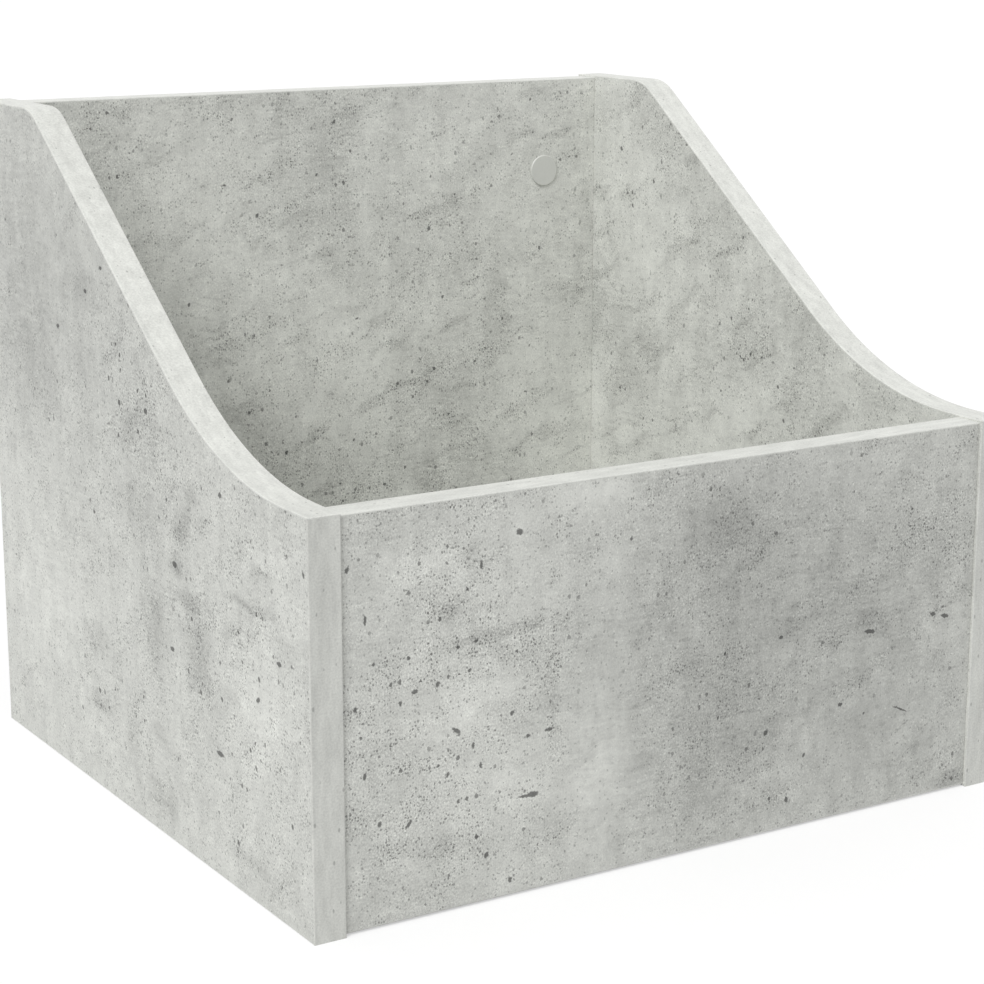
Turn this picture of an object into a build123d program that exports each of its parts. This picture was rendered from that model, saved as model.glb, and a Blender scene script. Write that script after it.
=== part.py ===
from build123d import *
from math import asin, atan2, degrees, hypot, tan
import os

# Open record storage case of five melamine-faced boards: two side panels with an S-shaped top edge,
# a low front panel, a tall back panel and a base, held together by dowels and cam fittings.
#
# Millimetres. X runs across the case, Y from its front to its back, Z up.
# The origin lies on the floor, below the centre of the case.

# ---- the whole case
width = 368.0
depth = 340.0
height = 320.0

# ---- boards and their edge bands
board = 15.0                # thickness of every board
band = 0.8                  # thickness of an edge band
band_round = 0.5            # rounding along the outer edges of a band
band_round_share = 0.8      # of the band's thickness that this rounding may take up

# ---- top edge of a side panel: level, a straight slope, level again
front_height = 180.0        # height of the level stretch at the front
slope_foot = 80.0           # from the front edge to the corner where the slope starts
slope_head = 63.0           # from the rear edge to the corner where it ends
foot_radius = 185.0         # hollow rounding of the lower corner
brow_radius = 28.0          # rounding of the upper corner
rounding_share = 0.95       # of the level stretch beside a corner that its rounding may take up

# ---- the panels between the sides
recess = 1.5                # front and back panels lie this far inside the sides' edges
top_drop = 1.0              # and this far below the sides' top edges
floor_gap = 1.0             # and, with the base, this far above the floor

# ---- wooden dowels
dowel_diameter = 8.0
dowel_length = 30.0
dowel_in_side = 10.0        # the share of its length that sits in the side panel
dowel_chamfer = 1.0
back_dowel_spacing = 100.0  # between the two dowels at each end of the back panel

# ---- cam fittings: a bolt screwed into the side, its head held by a drum in the other board
cam_diameter = 14.8
cam_height = 12.0
cam_sink = 0.3              # from the board's face to the drum's face
cam_setback = 34.0          # from the side panel to the drum's axis
cam_turn = 110.0            # from the entry for the bolt's head to where the slot holds its neck
cam_cross_length = 8.0      # cross-shaped key recess in the drum's face
cam_cross_width = 1.8
cam_cross_depth = 2.0
cam_skin = 1.2              # wall between the key recess and the head's chamber
front_cam_inset = 40.0      # from a panel's edge to the nearest cam fitting
back_cam_inset = 50.0
base_cam_inset = 60.0
bolt_thread_diameter = 6.3
bolt_thread_root = 4.6
bolt_thread_length = 10.5
bolt_pitch = 2.1
bolt_ring_width = 1.4       # of one thread ring at its root
bolt_collar_diameter = 7.6
bolt_collar_length = 1.5
bolt_shank_diameter = 6.0
bolt_neck_diameter = 4.4
bolt_head_diameter = 7.0
bolt_head_length = 4.0

# ---- cover caps over the cams inside the case
cap_diameter = 17.0
cap_thickness = 1.0
cap_chamfer = 0.4

# ---- clearances
bore_play = 0.1             # round a dowel, bolt or drum in its hole, on the radius
end_play = 0.5              # at the blind end of a hole
key_play = 0.2              # round a cap's key in the drum, and round a bolt's head and neck

# ---- worked out from the above
inner_width = width - 2 * board
front_y, back_y = -depth / 2, depth / 2
slope = atan2(height - front_height, depth - slope_foot - slope_head)
foot_round = min(foot_radius, rounding_share * slope_foot / tan(slope / 2))
brow_round = min(brow_radius, rounding_share * slope_head / tan(slope / 2))
edge_round = min(band_round, band_round_share * band)

front_panel_y = (front_y + recess, front_y + recess + board)
back_panel_y = (back_y - recess - board, back_y - recess)
base_z = (floor_gap, floor_gap + board)
front_panel_z = (floor_gap, front_height - top_drop)
back_panel_z = (floor_gap, height - top_drop)
base_y = (front_panel_y[1], back_panel_y[0])


def middle(span):
    return (span[0] + span[1]) / 2


def block(x_span, y_span, z_span):
    """A box between the given coordinates."""
    size = [high - low for low, high in (x_span, y_span, z_span)]
    return Pos(*(middle(s) for s in (x_span, y_span, z_span))) * Box(*size)


# ---- side panels

def top_line(drop, end):
    """The top edge of a side panel, drop below its finished surface and end short of its ends."""
    shift = drop * tan(slope / 2)
    return FilletPolyline(
        (front_y + end, front_height - drop),
        (front_y + slope_foot + shift, front_height - drop),
        (back_y - slope_head + shift, height - drop),
        (back_y - end, height - drop),
        radius=[foot_round + drop, brow_round - drop],
    )


def side_slab(outline):
    """A shape drawn on the YZ plane, as thick as the left side panel and in its place."""
    return extrude(Pos(-width / 2, 0, 0) * (Plane.YZ * make_face(outline)), board, dir=(1, 0, 0))


def left_side_panel():
    top = top_line(band, band)
    closing = Polyline(top @ 1, (back_y - band, band), (front_y + band, band), top @ 0)
    panel = side_slab([top, closing])
    for joint in joints:
        panel -= [place * dowel_hole() for place in joint["dowels"]]
        panel -= [place * bolt_hole_in_side() for place in joint["cams"]]
    return panel.solid()


def rounded(strip, normal):
    """An edge band with the two long edges of its outer face rounded."""
    outer = strip.faces().sort_by(Axis((0, 0, 0), normal))[-1]
    return fillet(outer.edges().sort_by(SortBy.LENGTH)[-2:], edge_round).solid()


def left_side_top_band():
    outer, inner = top_line(0, 0), top_line(band, 0)
    strip = side_slab([outer, inner, Line(outer @ 0, inner @ 0), Line(outer @ 1, inner @ 1)])
    surface = Pos(-width / 2, 0, 0) * (Plane.YZ * outer)
    rims = [e for e in strip.edges() if runs_along(e, surface) or crosses_at_end(e, surface)]
    return fillet(rims, edge_round).solid()


def runs_along(edge, line):
    """True for an edge that follows the line, on either face of the panel."""
    across = abs((edge % 0.5).X) > 0.5
    point = edge @ 0.5
    return not across and line.distance_to(Vector(-width / 2, point.Y, point.Z)) < band / 4


def crosses_at_end(edge, line):
    """True for an edge that crosses the panel at one end of the line."""
    across = abs((edge % 0.5).X) > 0.5
    return across and min(edge.distance_to(line @ 0), edge.distance_to(line @ 1)) < band / 4


def left_side_front_band():
    x_span = (-width / 2, -width / 2 + board)
    strip = block(x_span, (front_y, front_y + band), (0, front_height - band))
    return rounded(strip, (0, -1, 0))


def left_side_rear_band():
    x_span = (-width / 2, -width / 2 + board)
    strip = block(x_span, (back_y - band, back_y), (0, height - band))
    return rounded(strip, (0, 1, 0))


def left_side_bottom_band():
    x_span = (-width / 2, -width / 2 + board)
    strip = block(x_span, (front_y + band, back_y - band), (0, band))
    return rounded(strip, (0, 0, -1))


# ---- the panels between the sides

def cross_panel(joint, y_span, z_span):
    """A board between the sides, with its dowel holes, bolt bores and drum pockets."""
    panel = block((-inner_width / 2, inner_width / 2), y_span, z_span)
    for tool, places in (
        (dowel_hole(), joint["dowels"]),
        (bolt_bore_in_panel(), joint["cams"]),
        (drum_pocket(), joint["cams"]),
    ):
        panel -= both_ends(tool, places)
    return panel.solid()


def front_panel():
    low, high = front_panel_z
    return cross_panel(front_joint, front_panel_y, (low + band, high - band))


def back_panel():
    low, high = back_panel_z
    return cross_panel(back_joint, back_panel_y, (low + band, high - band))


def base_panel():
    return cross_panel(base_joint, base_y, base_z)


def panel_band(y_span, z_span, up):
    """The band along the top (up = 1) or bottom (up = -1) edge of the front or back panel."""
    edge = z_span[1] - band if up > 0 else z_span[0]
    strip = block((-inner_width / 2, inner_width / 2), y_span, (edge, edge + band))
    return rounded(strip, (0, 0, up))


# ---- fittings, drawn at the left side panel's inner face: X into the other board, Z to its drilled face

def along_x(radius, start, end):
    """A cylinder round the X axis, from start to end."""
    return Pos(start, 0, 0) * Rot(0, 90, 0) * Cylinder(
        radius, end - start, align=(Align.CENTER, Align.CENTER, Align.MIN)
    )


def dowel():
    pin = along_x(dowel_diameter / 2, -dowel_in_side, dowel_length - dowel_in_side)
    return chamfer(pin.edges().filter_by(GeomType.CIRCLE), dowel_chamfer)


def dowel_hole():
    start = -dowel_in_side - end_play
    return along_x(dowel_diameter / 2 + bore_play, start, dowel_length - dowel_in_side + end_play)


def bolt():
    """A steel cam bolt: ringed thread, collar, shank, thin neck and head."""
    crest, root, ring = bolt_thread_diameter / 2, bolt_thread_root / 2, bolt_ring_width / 2
    outline = [(-bolt_thread_length, 0), (-bolt_thread_length, root)]
    for turn in range(1, int(bolt_thread_length / bolt_pitch)):
        x = -bolt_thread_length + bolt_pitch * turn
        outline += [(x - ring, root), (x, crest), (x + ring, root)]
    outline.append((0, root))
    head_start = cam_setback - bolt_head_length / 2
    start = 0
    for diameter, end in (
        (bolt_collar_diameter, bolt_collar_length),
        (bolt_shank_diameter, cam_setback - cam_diameter / 2 - key_play),
        (bolt_neck_diameter, head_start),
        (bolt_head_diameter, head_start + bolt_head_length),
    ):
        outline += [(start, diameter / 2), (end, diameter / 2)]
        start = end
    outline.append((start, 0))
    return revolve(make_face(Polyline(*outline, close=True)), Axis.X)


def bolt_hole_in_side():
    return along_x(bolt_thread_diameter / 2 + bore_play, -bolt_thread_length - end_play, 0)


def bolt_bore_in_panel():
    return along_x(bolt_collar_diameter / 2 + bore_play, 0, cam_setback)


def drum_pocket():
    pocket_depth = cam_sink + cam_height + end_play
    return Pos(cam_setback, 0, board / 2 - pocket_depth) * Cylinder(
        cam_diameter / 2 + bore_play, pocket_depth, align=(Align.CENTER, Align.CENTER, Align.MIN)
    )


def key_cross(length, arm, tall):
    """Two crossed bars, standing from Z = -tall to 0."""
    bar = Box(length, arm, tall, align=(Align.CENTER, Align.CENTER, Align.MAX))
    return bar + Rot(0, 0, 90) * bar


def drum():
    """A zinc cam drum: a chamber round the bolt's head, and a slot that closes on its neck."""
    face = board / 2 - cam_sink
    chamber_radius = hypot(bolt_head_length, bolt_head_diameter) / 2 + key_play
    chamber_top = face - cam_cross_depth - cam_skin
    body = Pos(0, 0, face) * Cylinder(
        cam_diameter / 2, cam_height, align=(Align.CENTER, Align.CENTER, Align.MAX)
    )
    body -= Cylinder(chamber_radius, 2 * chamber_top)
    neck_room = bolt_neck_diameter / 2 + key_play
    neck_angle = degrees(asin(neck_room / chamber_radius))
    slot = Cylinder(cam_diameter, 2 * neck_room, arc_size=cam_turn + neck_angle)
    body -= Rot(0, 0, 180 - neck_angle) * slot
    body -= Rot(0, 0, cam_turn) * along_x(bolt_head_diameter / 2 + key_play, -cam_diameter, 0)
    body -= Pos(0, 0, face) * key_cross(cam_cross_length, cam_cross_width, cam_cross_depth)
    return Pos(cam_setback, 0, 0) * body


def cap():
    """A flat cover cap, with a cross-shaped key that sits in the drum's recess."""
    disc = Cylinder(cap_diameter / 2, cap_thickness, align=(Align.CENTER, Align.CENTER, Align.MIN))
    disc = chamfer(disc.edges().filter_by(GeomType.CIRCLE).sort_by(Axis.Z)[-1], cap_chamfer)
    key = key_cross(
        cam_cross_length - 2 * key_play,
        cam_cross_width - 2 * key_play,
        cam_sink + cam_cross_depth - key_play,
    )
    return Pos(cam_setback, 0, board / 2) * (disc + key)


# ---- where the fittings go: one plane for each, on the left side panel's inner face

def sites(points, drilled_face):
    return [
        Location(Plane((-inner_width / 2, y, z), x_dir=(1, 0, 0), z_dir=drilled_face))
        for y, z in points
    ]


def upright_joint(y_span, z_span, inset, dowel_heights, drilled_face):
    y = middle(y_span)
    cams = [(y, z_span[0] + inset), (y, z_span[1] - inset)]
    return {
        "cams": sites(cams, drilled_face),
        "dowels": sites([(y, z) for z in dowel_heights], drilled_face),
    }


def level_joint(y_span, z_span, inset):
    z = middle(z_span)
    cams = [(y_span[0] + inset, z), (y_span[1] - inset, z)]
    return {
        "cams": sites(cams, (0, 0, -1)),
        "dowels": sites([(middle(y_span), z)], (0, 0, -1)),
    }


def both_ends(shape, places):
    """A fitting at each place, and again at the right side panel."""
    left = [place * shape for place in places]
    return left + [mirror(item, Plane.YZ) for item in left]


front_joint = upright_joint(
    front_panel_y, front_panel_z, front_cam_inset, [middle(front_panel_z)], (0, 1, 0)
)
back_joint = upright_joint(
    back_panel_y,
    back_panel_z,
    back_cam_inset,
    [middle(back_panel_z) + side * back_dowel_spacing / 2 for side in (-1, 1)],
    (0, -1, 0),
)
base_joint = level_joint(base_y, base_z, base_cam_inset)
joints = (front_joint, back_joint, base_joint)


# ---- one file for each piece or group of like pieces

def save(name, solids):
    solids = [s.solid() for s in solids]
    shape = solids[0] if len(solids) == 1 else Compound(children=solids)
    export_step(shape, os.path.join("parts", name + ".step"))


os.makedirs("parts", exist_ok=True)

left_pieces = {
    "side_panel": left_side_panel(),
    "side_top_band": left_side_top_band(),
    "side_front_band": left_side_front_band(),
    "side_rear_band": left_side_rear_band(),
    "side_bottom_band": left_side_bottom_band(),
}
for piece, solid in left_pieces.items():
    save("left_" + piece, [solid])
    save("right_" + piece, [mirror(solid, Plane.YZ)])

save("front_panel", [front_panel()])
save("back_panel", [back_panel()])
save("base_panel", [base_panel()])
save("front_panel_top_band", [panel_band(front_panel_y, front_panel_z, 1)])
save("front_panel_bottom_band", [panel_band(front_panel_y, front_panel_z, -1)])
save("back_panel_top_band", [panel_band(back_panel_y, back_panel_z, 1)])
save("back_panel_bottom_band", [panel_band(back_panel_y, back_panel_z, -1)])

for panel, joint in (("front", front_joint), ("back", back_joint), ("base", base_joint)):
    save(panel + "_dowels", both_ends(dowel(), joint["dowels"]))
    save(panel + "_cam_bolts", both_ends(bolt(), joint["cams"]))
    save(panel + "_cam_drums", both_ends(drum(), joint["cams"]))
for panel, joint in (("front", front_joint), ("back", back_joint)):
    save(panel + "_cover_caps", both_ends(cap(), joint["cams"]))
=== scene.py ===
"""Looks for the open record case: five boards printed like concrete, edged, dowelled and cam-fixed."""
import math

import bpy
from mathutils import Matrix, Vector

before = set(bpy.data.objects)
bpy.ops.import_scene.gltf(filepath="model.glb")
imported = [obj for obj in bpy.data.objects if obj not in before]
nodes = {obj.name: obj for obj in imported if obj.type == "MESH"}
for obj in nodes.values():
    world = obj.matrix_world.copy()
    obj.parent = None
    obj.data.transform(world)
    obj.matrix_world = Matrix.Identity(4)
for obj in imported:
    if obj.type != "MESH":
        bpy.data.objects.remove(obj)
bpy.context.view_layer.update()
X, Y, Z = 0, 1, 2


# --- How the finishes are written ------------------------------------------------------------------
# Lengths given to these functions are millimetres, and the coordinates they start from are metres.
class Wire:
    """An output of a finish's nodes. Arithmetic on it adds Math nodes to the same finish."""

    def __init__(self, tree, socket=None):
        self.tree, self.socket = tree, socket

    def node(self, kind, sockets, output=0, **settings):
        """Adds a node: its settings first, then a value or a wire for each socket."""
        made = self.tree.nodes.new("ShaderNode" + kind)
        for name, value in settings.items():
            setattr(made, name, value)
        for name, value in sockets.items():
            if isinstance(value, Wire):
                self.tree.links.new(value.socket, made.inputs[name])
            else:
                made.inputs[name].default_value = value
        return Wire(self.tree, made.outputs[output] if len(made.outputs) else None)

    def beside(self, output):
        """Another output of the node that this one comes from."""
        return Wire(self.tree, self.socket.node.outputs[output])

    def math(self, operation, first, second):
        return self.node("Math", {0: first, 1: second}, operation=operation)

    def __add__(self, other):
        return self.math("ADD", self, other)

    def __sub__(self, other):
        return self.math("SUBTRACT", self, other)

    def __mul__(self, other):
        return self.math("MULTIPLY", self, other)

    def __truediv__(self, other):
        return self.math("DIVIDE", self, other)

    def __rsub__(self, other):
        return self.math("SUBTRACT", other, self)

    __radd__, __rmul__ = __add__, __mul__

    def unsigned(self):
        """The value without its sign."""
        return self.math("ABSOLUTE", self, 0.0)

    def below(self, limit):
        """1 where the value is below the limit, else 0."""
        return self.math("LESS_THAN", self, limit)

    def most(self, other):
        """The larger of the two."""
        return self.math("MAXIMUM", self, other)

    def held(self):
        """The value kept between 0 and 1."""
        return self.node("Math", {0: self, 1: 0.0}, operation="ADD", use_clamp=True)

    def rise(self, low, high):
        """0 below low, 1 above high, and a smooth step between them."""
        return self.node("MapRange", {"Value": self, "From Min": low, "From Max": high},
                         interpolation_type="SMOOTHSTEP")

    def steps(self, *lengths, lean=0.0, place=(0, 0)):
        """These coordinates in steps of two or three lengths, the first turned up by lean, in radians,
        and counted from a place."""
        return self.node("Mapping", {
            "Vector": self, "Location": (place[0] / 1000, place[1] / 1000, 0), "Rotation": (0, 0, lean),
            "Scale": [length / 1000 for length in (*lengths, 1000)[:3]]}, vector_type="TEXTURE")

    def noise(self, scale=1.0, detail=2.0, roughness=0.5, dimensions="3D"):
        """Soft noise about 0.5, with that many lumps to each unit of these coordinates."""
        return self.node("TexNoise", {"Vector": self, "Scale": scale, "Detail": detail,
                                      "Roughness": roughness}, noise_dimensions=dimensions)

    def cloud(self, detail=2.0, roughness=0.5):
        """Soft flat noise about 0.5, one step across."""
        return self.noise(1.0, detail, roughness, "2D")

    def spots(self, dimensions="3D"):
        """How far the nearest spot is, in steps; one spot lies at random in each step."""
        return self.node("TexVoronoi", {"Vector": self, "Scale": 1.0}, voronoi_dimensions=dimensions)

    def dots(self, density, smallest, largest, soft=0.1, dimensions="2D"):
        """A dot in that share of the steps, 1 at its middle; radii are shares of a step."""
        away = self.spots(dimensions)
        chance = self.node("SeparateColor", {0: away.beside("Color")})
        radius = smallest + chance.beside(1) * (largest - smallest)
        return ((radius - away) / soft).held() * chance.below(density)

    def stirred(self, step, by):
        """These flat coordinates pushed about by noise of that step, by up to half that length."""
        push = self.steps(step, step).cloud(2.0, 0.6).beside("Color")
        push = self.node("VectorMath", {0: push, 1: (0.5, 0.5, 0.5)}, operation="SUBTRACT")
        return self.node("VectorMath", {0: push, 1: (by / 1000,) * 3, 2: self}, operation="MULTIPLY_ADD")

    def oval(self, along, up, long, high, lean, soft=1.0):
        """1 at a place and 0 outside an oval of those half lengths about it, which leans by that many
        degrees. soft is the share of the way to the middle over which it rises."""
        spot = self.steps(long, high, lean=math.radians(lean), place=(along, up))
        inside = self.node("TexGradient", {"Vector": spot}, "Fac", gradient_type="SPHERICAL")
        return inside.rise(0.0, soft)

    def between(self, first, second):
        """The first colour where this is 0, the second where it is 1, and mixtures between."""
        return self.node("Mix", {0: self, 6: first, 7: second}, 2, data_type="RGBA")

    def times(self, colour):
        """A colour with each channel times this value."""
        return self.node("VectorMath", {0: colour, "Scale": self}, operation="SCALE")

    def finished(self, roughness, relief, strength, depth, metallic=0.0):
        """Ends a finish of this colour. relief is its height, which that depth and strength scale."""
        bump = self.node("Bump", {"Strength": strength, "Distance": depth / 1000, "Height": relief})
        surface = self.node("BsdfPrincipled", {
            "Base Color": self, "Roughness": roughness, "Metallic": metallic, "Normal": bump})
        surface.node("OutputMaterial", {"Surface": surface})


def finish(name):
    """A new empty material, and the object's own coordinates to begin its nodes with."""
    made = bpy.data.materials.new(name)
    made.use_nodes = True
    made.node_tree.nodes.clear()
    return made, Wire(made.node_tree).node("TexCoord", {}, "Object")


def painted(node, material):
    """Puts a material in a CAD node's slot."""
    mesh = nodes[node].data
    mesh.materials.clear()
    mesh.materials.append(material)


# --- The five boards -------------------------------------------------------------------------------
# Furniture chipboard, 15 mm, pressed between two sheets of matt melamine paper. The paper is printed
# with cast concrete: pale trowelled skin, darker washes, leaning bands of grit, pores and a few pits.
# Each board is sawn from another part of the sheet, so each has its own place in the print.
CONCRETE = (0.690, 0.699, 0.660)
CHIP_DARK, CHIP_PALE = (0.34, 0.22, 0.12, 1), (0.66, 0.49, 0.31, 1)
SLIDE = 40.0  # how far the print runs on per length through a board, so that its inner face differs


def concrete_print(place, lean, stains, hollows):
    """The print's brightness without its dark marks, how dark the marks are, its grain and its smoke.
    Where no stains are placed, clouds and smears fall at random."""
    smoky = place.stirred(20, 10)
    ragged = place.stirred(1.2, 1.4)
    dark = grim = 0.0
    for *oval, darker, grittier in stains:
        stain = smoky.oval(*oval)
        dark, grim = dark + stain * darker, grim + stain * grittier
    if not stains:
        smears = smoky.steps(45, 11, lean=lean).cloud(2.0, 0.5).rise(0.58, 0.74)
        clouds = smoky.steps(75, 95).cloud(3.0, 0.6).rise(0.44, 0.66)
        dark, grim = smears * 0.13 + clouds * 0.13 - 0.04, smears * 0.35 + clouds * 0.20
    wash = place.steps(100, 140).cloud(2.0, 0.55).rise(0.38, 0.66)
    band = smoky.steps(50, 14, lean=lean).cloud(3.0, 0.62).rise(0.54, 0.72)
    skin = smoky.steps(34, 18, lean=lean).cloud(2.0, 0.6).rise(0.46, 0.60)
    grit = ((0.42 + grim + dark + band * 0.45) * (1.0 - skin * 0.55)).held()
    smoke = smoky.steps(15, 18).cloud(5.0, 0.80)
    clumps = place.steps(13, 9).cloud(3.0, 0.65).rise(0.48, 0.64)
    columns = place.steps(9, 110).cloud(2.0, 0.6)
    strokes = smoky.steps(40, 1.8, lean=-0.06).cloud(2.0, 0.6)
    blots = place.steps(4.4, 3.0).cloud(2.0, 0.5).rise(0.58, 0.74)
    grain = place.steps(0.8, 1.0).cloud(2.0, 0.7)

    dots = ragged.steps(1.3, 1.5).dots(0.08 + grit * (0.22 + clumps * 0.66), 0.12, 0.42)
    pores = ragged.steps(4.6, 6.2).dots(0.03 + grit * 0.10 + clumps * 0.32, 0.05, 0.205, 0.03)
    pits = ragged.steps(30, 20, lean=1.1).dots(0.02 + grit * 0.40, 0.018, 0.060, 0.02)
    for hollow in hollows:
        pits = pits.most(ragged.oval(*hollow, 0.35))
    flecks = ragged.steps(1.6, 1.3, lean=0.5).dots(0.10 + grit * 0.60, 0.10, 0.36)

    tone = (0.960 - dark - wash * 0.05 - band * 0.06 + (smoke - 0.5) * 0.55 + (columns - 0.5) * 0.12
            + (strokes - 0.5) * (0.08 + wash * 0.18) + (grain - 0.5) * (0.26 + grit * 1.00)
            + flecks * 0.16 - blots * 0.10)
    ink = (dots * (0.30 + grit * 0.32)).most(pores * (0.16 + grit * 0.62)).most(pits * 0.74)
    return tone, ink, grain, smoke


def concrete_board(name, across, lean, shift, stains, hollows, seam):
    """Chipboard faced with the print. across is the axis through the board's thickness, shift is the
    board's place in the print, and seam is how far from the middle it is butted; those are metres."""
    material, corner = finish(name)
    axes = {X: (Y, Z, X), Y: (X, Z, Y), Z: (X, Y, Z)}[across]
    parts = corner.node("SeparateXYZ", {0: corner})
    along, up, through = [parts.beside(axis) for axis in axes]
    place = corner.node("CombineXYZ", {0: along + through * SLIDE + shift[0], 1: up + shift[1]})
    tone, ink, grain, smoke = concrete_print(place, lean, stains, hollows)
    # A dark hairline 0.6 mm wide and 15 % darker, painted along the butted ends of the front, back and
    # base: partly the dark core of the cut edge, partly painted shade of the hairline gap between the
    # boards. The sides, whose seam lies at 1 m, never reach it.
    joint = along.unsigned().rise(seam - 0.0006, seam) * 0.15
    printed = (tone * (1.0 - ink) * (1.0 - joint)).times(CONCRETE)

    flakes = corner.steps(*(0.6 if axis == across else 2.0 for axis in (X, Y, Z))).noise(1.0, 1.0)
    facing = corner.node("SeparateXYZ", {0: corner.beside("Normal")}).beside(across)
    cut = facing.unsigned().below(0.7)
    colour = cut.between(printed, flakes.rise(0.35, 0.65).between(CHIP_DARK, CHIP_PALE))
    colour.finished(0.52 + (smoke - 0.5) * 0.30 + ink * 0.2 + cut * 0.3, grain, 0.2, 0.2)
    return material


# The marks placed on the outer faces of the left side and the front: how far along and how far up
# they are, their half lengths, all in millimetres, and their lean in degrees. A stain then has how
# much darker and how much grittier it makes the print. The hollows are the largest pits.
left_stains = (
    (-10, 175, 170, 110, 0, 0.10, 0.2), (85, 250, 160, 120, 0, 0.19, -0.5),
    (130, 190, 65, 55, 0, 0.15, 0.1), (112, 82, 76, 58, 0, -0.11, -0.1), (-128, 88, 42, 44, 0, -0.16, -0.1),
    (-150, 150, 45, 35, 0, -0.09, 0.0), (-45, 132, 9, 7, 0, 0.26, 0.3), (-63, 168, 12, 9, 0, 0.22, 0.3),
    (-52, 152, 22, 10, -50, 0.18, 0.3), (-58, 119, 28, 7, 0, 0.22, 0.3), (-20, 97, 24, 28, 0, 0.21, 0.2),
    (-65, 95, 20, 32, 0, 0.23, 0.4), (-120, 131, 32, 4, -3, 0.24, 0.2), (-130, 146, 18, 5, -10, 0.20, 0.2),
    (0, 186, 26, 12, -30, 0.15, 0.3), (48, 76, 26, 16, 0, 0.17, 0.2), (48, 44, 20, 8, 0, 0.18, 0.3),
    (-110, 17, 38, 6, 0, 0.13, 0.1), (-22, 16, 24, 16, 0, 0.17, 0.2), (55, 241, 40, 11, 0, 0.07, 0.4),
    (-5, 150, 34, 16, 0, 0.11, 0.2), (0, 205, 95, 55, 0, 0.0, 0.4), (-110, 90, 90, 115, 0, 0.0, 0.5),
    (20, 60, 110, 80, 0, 0.0, 0.25))
left_hollows = (
    (-85, 57, 4.4, 1.4, 0), (-123, 92, 2.4, 1.3, -30), (-17, 196, 2.4, 1.7, 0), (12, 195, 1.9, 1.7, 0),
    (28, 254, 2.0, 1.2, 0), (-38, 92, 2.6, 1.3, 0), (-143, 113, 2.4, 1.3, 0), (-91, 173, 1.8, 1.5, 0),
    (-43, 132, 2.8, 1.8, 0), (82, 220, 2.2, 1.3, 0), (47, 241, 2.0, 1.3, 0), (46, 137, 1.5, 1.2, 0))
front_stains = (
    (-109, 89, 38, 22, 0, -0.16, -0.3), (-84, 54, 42, 28, 30, -0.14, -0.1),
    (-44, 44, 26, 36, 10, -0.15, -0.4), (-40, 60, 27, 95, 0, 0.0, -0.6),
    (110, 90, 150, 240, 0, 0.17, -0.25), (9, 90, 64, 190, 0, 0.14, -0.1),
    (-120, 180, 70, 9, 0, 0.06, 0.7), (-140, 150, 42, 16, 0, -0.12, 0.0),
    (-44, 172, 36, 14, 0, -0.12, -0.2), (-120, 90, 75, 150, 0, -0.07, 0.7),
    (26, 148, 40, 32, 0, 0.19, 0.0), (56, 115, 100, 80, -20, 0.09, 0.0), (34, 54, 52, 84, 0, 0.09, 0.2),
    (63, 97, 20, 13, 20, 0.11, 0.0), (111, 90, 20, 15, 0, 0.11, 0.1), (-98, 118, 50, 4.5, 5, 0.20, 1.0),
    (-119, 132, 15, 7, 20, 0.22, 1.0), (-84, 108, 20, 7, -5, 0.15, 0.9),
    (-119, 29, 46, 10, -8, 0.15, 0.8), (-68, 80, 7, 32, 0, 0.13, 0.9), (161, 7, 14, 10, 0, 0.26, 0.3),
    (136, 24, 10, 6, 30, 0.15, 0.2), (150, 128, 50, 36, 0, 0.08, 0.4),
    (135, 152, 60, 34, -10, -0.02, 0.15), (110, 40, 70, 50, 0, 0.06, -0.3),
    (-38, 106, 44, 44, 0, 0.06, 0.0))
front_hollows = (
    (-77.5, 44.3, 3.6, 1.5, -5), (107, 87.5, 3.8, 1.3, -8), (145, 90, 2.2, 1.2, -15),
    (152.5, 88, 3.0, 1.2, -12), (127, 46.5, 6.0, 0.5, -25), (-84.5, 160.8, 2.0, 1.7, 0),
    (-115.5, 79.8, 2.8, 1.1, -35), (-158, 134, 0.8, 2.6, 0), (-135, 100, 1.9, 1.2, 15),
    (-142, 96, 0.9, 1.5, 0), (-163, 97, 1.0, 1.6, 10), (-103, 149.5, 1.0, 2.2, 0), (55, 93, 1.4, 1.1, 0),
    (90.5, 55, 1.5, 1.1, 0), (60.5, 14.7, 1.1, 1.9, 10), (-81.5, 44.1, 4.0, 0.8, -3),
    (-138.5, 43, 2.8, 0.9, 50), (-80, 71, 1.3, 1.1, 0), (-69.4, 72, 2.8, 0.8, 5),
    (-107.3, 71.7, 0.9, 1.7, 0), (-103.5, 62.3, 0.9, 1.6, 10), (-159, 67.7, 0.9, 1.9, -10),
    (-88.8, 7.7, 1.2, 1.4, 0))
LEFT_FACE, FRONT_FACE = -0.184, -0.1685  # where those outer faces lie
BUTTED = 0.169  # the boards between the sides are butted here
for board, across, lean, shift, stains, hollows, seam in (
        ("left_side_panel", X, -35, (-LEFT_FACE * SLIDE, 0.0), left_stains, left_hollows, 1.0),
        ("right_side_panel", X, -24, (3.3, 0.9), (), (), 1.0),
        ("front_panel", Y, 24, (-FRONT_FACE * SLIDE, 0.0), front_stains, front_hollows, BUTTED),
        ("back_panel", Y, 20, (7.1, 0.4), (), (), BUTTED),
        ("base_panel", Z, 15, (11.6, 1.3), (), (), BUTTED)):
    painted(board, concrete_board(
        board + "_print", across, math.radians(lean), shift, stains, hollows, seam))


# --- The edge bands --------------------------------------------------------------------------------
# Plastic edging 0.8 mm thick, glued hot round every edge that shows and trimmed flush. Its print is
# the same concrete but paler and calmer, with faint strokes that run along it and a few pores.
PALE_CONCRETE = (0.662, 0.670, 0.633)
PORE_STEP = 2.5  # drawn out along the strokes, but half as much as they are


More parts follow.
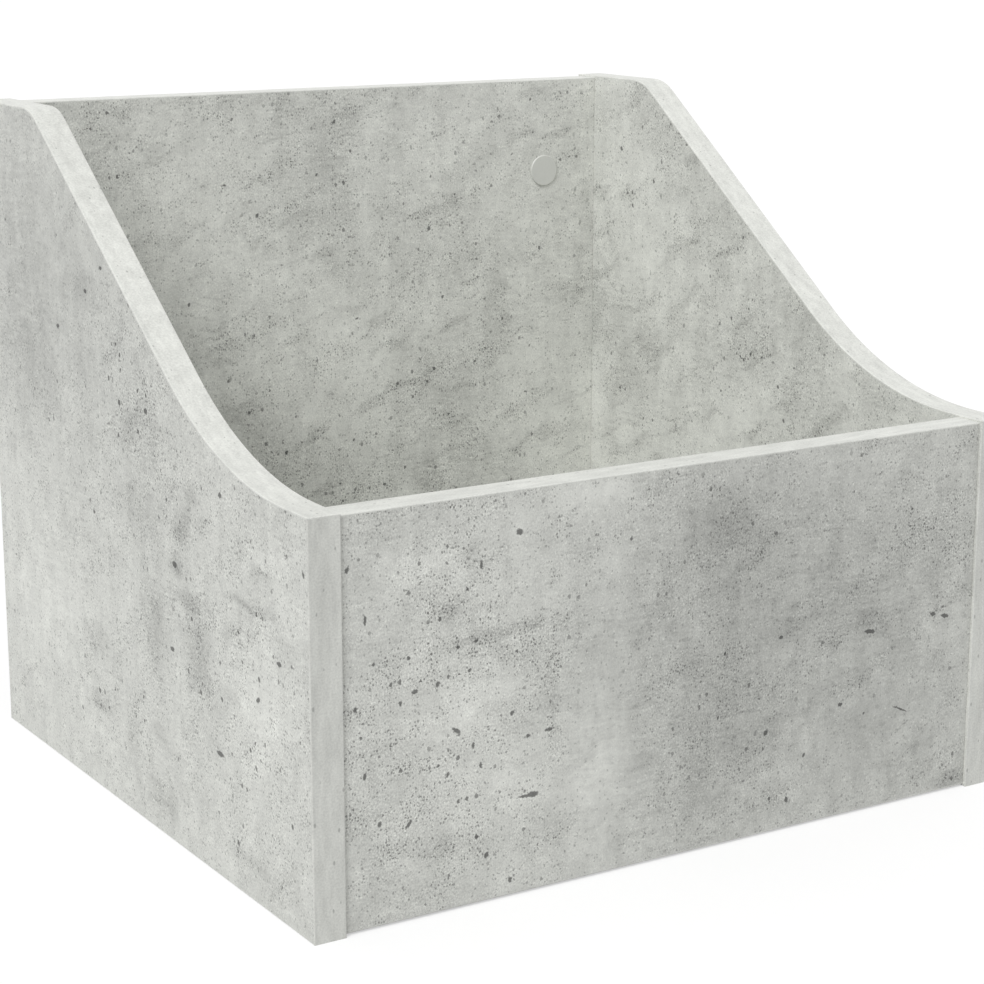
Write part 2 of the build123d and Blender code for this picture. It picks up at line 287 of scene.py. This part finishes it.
def concrete_edging(name, *lengths):
    """The edging's print; the lengths are those of its strokes along the axes."""
    material, place = finish(name)
    stroked = place.steps(*lengths)
    strokes, calm = stroked.noise(0.8, 3.0, 0.6), stroked.noise(0.2, 2.0)
    grain = place.noise(1100.0, 2.0)
    near = place.steps(*(math.sqrt(length * PORE_STEP) for length in lengths))
    pores = near.dots(0.42, 0.08, 0.24, dimensions="3D")
    tone = 1.0 + (calm - 0.5) * 0.16 + (strokes - 0.5) * 0.44 + (grain - 0.5) * 0.46
    colour = (tone * (1.0 - pores * 0.36)).times(PALE_CONCRETE)
    colour.finished(0.48 + (strokes - 0.5) * 0.12, grain, 0.15, 0.2)
    return material


upright = concrete_edging("edging_upright", 3, 3, 12)
lengthwise = concrete_edging("edging_lengthwise", 3, 10, 4)
crosswise = concrete_edging("edging_crosswise", 10, 3, 4)
for side in ("left_side", "right_side"):
    painted(side + "_top_band", lengthwise)
    painted(side + "_bottom_band", lengthwise)
    painted(side + "_front_band", upright)
    painted(side + "_rear_band", upright)
for panel in ("front_panel", "back_panel"):
    painted(panel + "_top_band", crosswise)
    painted(panel + "_bottom_band", crosswise)


# --- The dowels ------------------------------------------------------------------------------------
# Beech rod, 8 mm, cut to 30 mm, chamfered at both ends and glued half into each board's edge, where
# they line the boards up while the cam fittings pull the joint closed.
BEECH_DARK, BEECH_PALE = (0.50, 0.30, 0.16, 1), (0.68, 0.46, 0.27, 1)
beech, place = finish("beech_rod")
fibre = place.steps(20, 0.9, 0.9).noise(1.0, 4.0, 0.65)
fleck = place.steps(2.4, 0.4, 0.4).spots()
colour = fibre.rise(0.35, 0.65).between(BEECH_DARK, BEECH_PALE)
colour = (1.0 - (0.22 - fleck).held() * 1.6).times(colour)
colour.finished(0.62 + (fibre - 0.5) * 0.3, fibre, 0.3, 0.2)
for joint in ("front", "back", "base"):
    painted(joint + "_dowels", beech)


# --- The cam fittings ------------------------------------------------------------------------------
# Two-part knock-down fittings. A threaded bolt of zinc-plated steel is driven into the side, and a
# drum of die-cast zinc in the other board grips its head and draws the joint shut when it is turned.
def metal(name, colour, dull, roughness, cloudy, relief):
    """Bare metal: its colour and the colour of its dull patches, cloudy noise and fine relief."""
    made, place = finish(name)
    clouds, fine = place.noise(cloudy, 4.0, 0.6), place.noise(3500.0, 2.0)
    clouds.rise(0.40, 0.66).between(colour, dull).finished(
        roughness + (clouds - 0.5) * 0.25 + (fine - 0.5) * 0.15, fine, relief, 0.1, metallic=1.0)
    return made


plated_steel = metal("plated_steel", (0.66, 0.66, 0.63, 1), (0.58, 0.55, 0.46, 1), 0.30, 220.0, 0.15)
cast_zinc = metal("cast_zinc", (0.56, 0.57, 0.58, 1), (0.42, 0.43, 0.44, 1), 0.44, 320.0, 0.45)
for joint in ("front", "back", "base"):
    painted(joint + "_cam_bolts", plated_steel)
    painted(joint + "_cam_drums", cast_zinc)


# --- The cover caps --------------------------------------------------------------------------------
# Pale grey polypropylene discs, moulded with a fine spark texture, pressed over the cam drums on the
# inside of the front and back. The base's drums face the floor and stay open.
PALE_GREY = (0.615, 0.625, 0.590)
cap_plastic, place = finish("cap_plastic")
spark, flow = place.noise(1800.0, 2.0, 0.6), place.noise(90.0, 3.0)
colour = (1.0 + (flow - 0.5) * 0.10 + (spark - 0.5) * 0.12).times(PALE_GREY)
colour.finished(0.46 + (spark - 0.5) * 0.2, spark, 0.35, 0.1)
painted("front_cover_caps", cap_plastic)
painted("back_cover_caps", cap_plastic)


# --- The studio ------------------------------------------------------------------------------------
# A white floor under an even white sky, and one soft lamp: at the left, a little to the front, and
# halfway up the sky. The sky and the floor light the case less brightly than the camera sees them.
SKY = 0.75
SUN = 0.511 * math.pi  # which puts 0.511 on a white card that faces the lamp
FLOOR_GREY, FLOOR_WHITE = (0.39, 0.39, 0.39, 1), (0.98, 0.98, 0.98, 1)
WHITE = (1, 1, 1, 1)
TO_LAMP = Vector((-0.320, -0.180, 0.356))

world = bpy.data.worlds.new("studio")
bpy.context.scene.world = world
world.use_nodes = True
world.node_tree.nodes.clear()
sky = Wire(world.node_tree)


def seen_white(start, lit, white):
    """lit for the light it throws, and white where the camera, gloss or glass sees it."""
    ray = start.node("LightPath", {}, "Is Camera Ray")
    seen = (ray + ray.beside("Is Glossy Ray") + ray.beside("Is Transmission Ray")).held()
    return start.node("MixShader", {0: seen, 1: lit, 2: white})


lighting = sky.node("Background", {"Color": WHITE, "Strength": SKY})
white = sky.node("Background", {"Color": WHITE, "Strength": 1.0})
sky.node("OutputWorld", {"Surface": seen_white(sky, lighting, white)})

lamp = bpy.data.objects.new("lamp", bpy.data.lights.new("lamp", "SUN"))
bpy.context.scene.collection.objects.link(lamp)
lamp.data.energy = SUN
lamp.data.angle = math.radians(24)
lamp.rotation_mode = "QUATERNION"
lamp.rotation_quaternion = TO_LAMP.to_track_quat("Z", "Y")

reach = 30
floor = bpy.data.objects.new("floor", bpy.data.meshes.new("floor"))
bpy.context.scene.collection.objects.link(floor)
corners = [(-reach, -reach, 0), (reach, -reach, 0), (reach, reach, 0), (-reach, reach, 0)]
floor.data.from_pydata(corners, [], [(0, 1, 2, 3)])
paper, start = finish("white_floor")
matt = start.node("BsdfDiffuse", {"Color": FLOOR_GREY})
bright = start.node("BsdfDiffuse", {"Color": FLOOR_WHITE})
glow = start.node("Emission", {"Color": WHITE, "Strength": 1.0})
shadowed = start.node("MixShader", {0: 0.5, 1: bright, 2: glow})
start.node("OutputMaterial", {"Surface": seen_white(start, matt, shadowed)})
floor.data.materials.append(paper)

camera = bpy.data.objects.new("camera", bpy.data.cameras.new("camera"))
bpy.context.scene.collection.objects.link(camera)
camera.data.sensor_width = 36
camera.data.lens = 89.86
camera.data.clip_end = 200
camera.location = (-0.6128, -1.0004, 0.4140)
aim = Vector((0.0013, -0.0081, 0.1342))
camera.rotation_euler = (aim - camera.location).to_track_quat("-Z", "Y").to_euler()
bpy.context.scene.camera = camera
bpy.context.scene.view_settings.view_transform = "Standard"
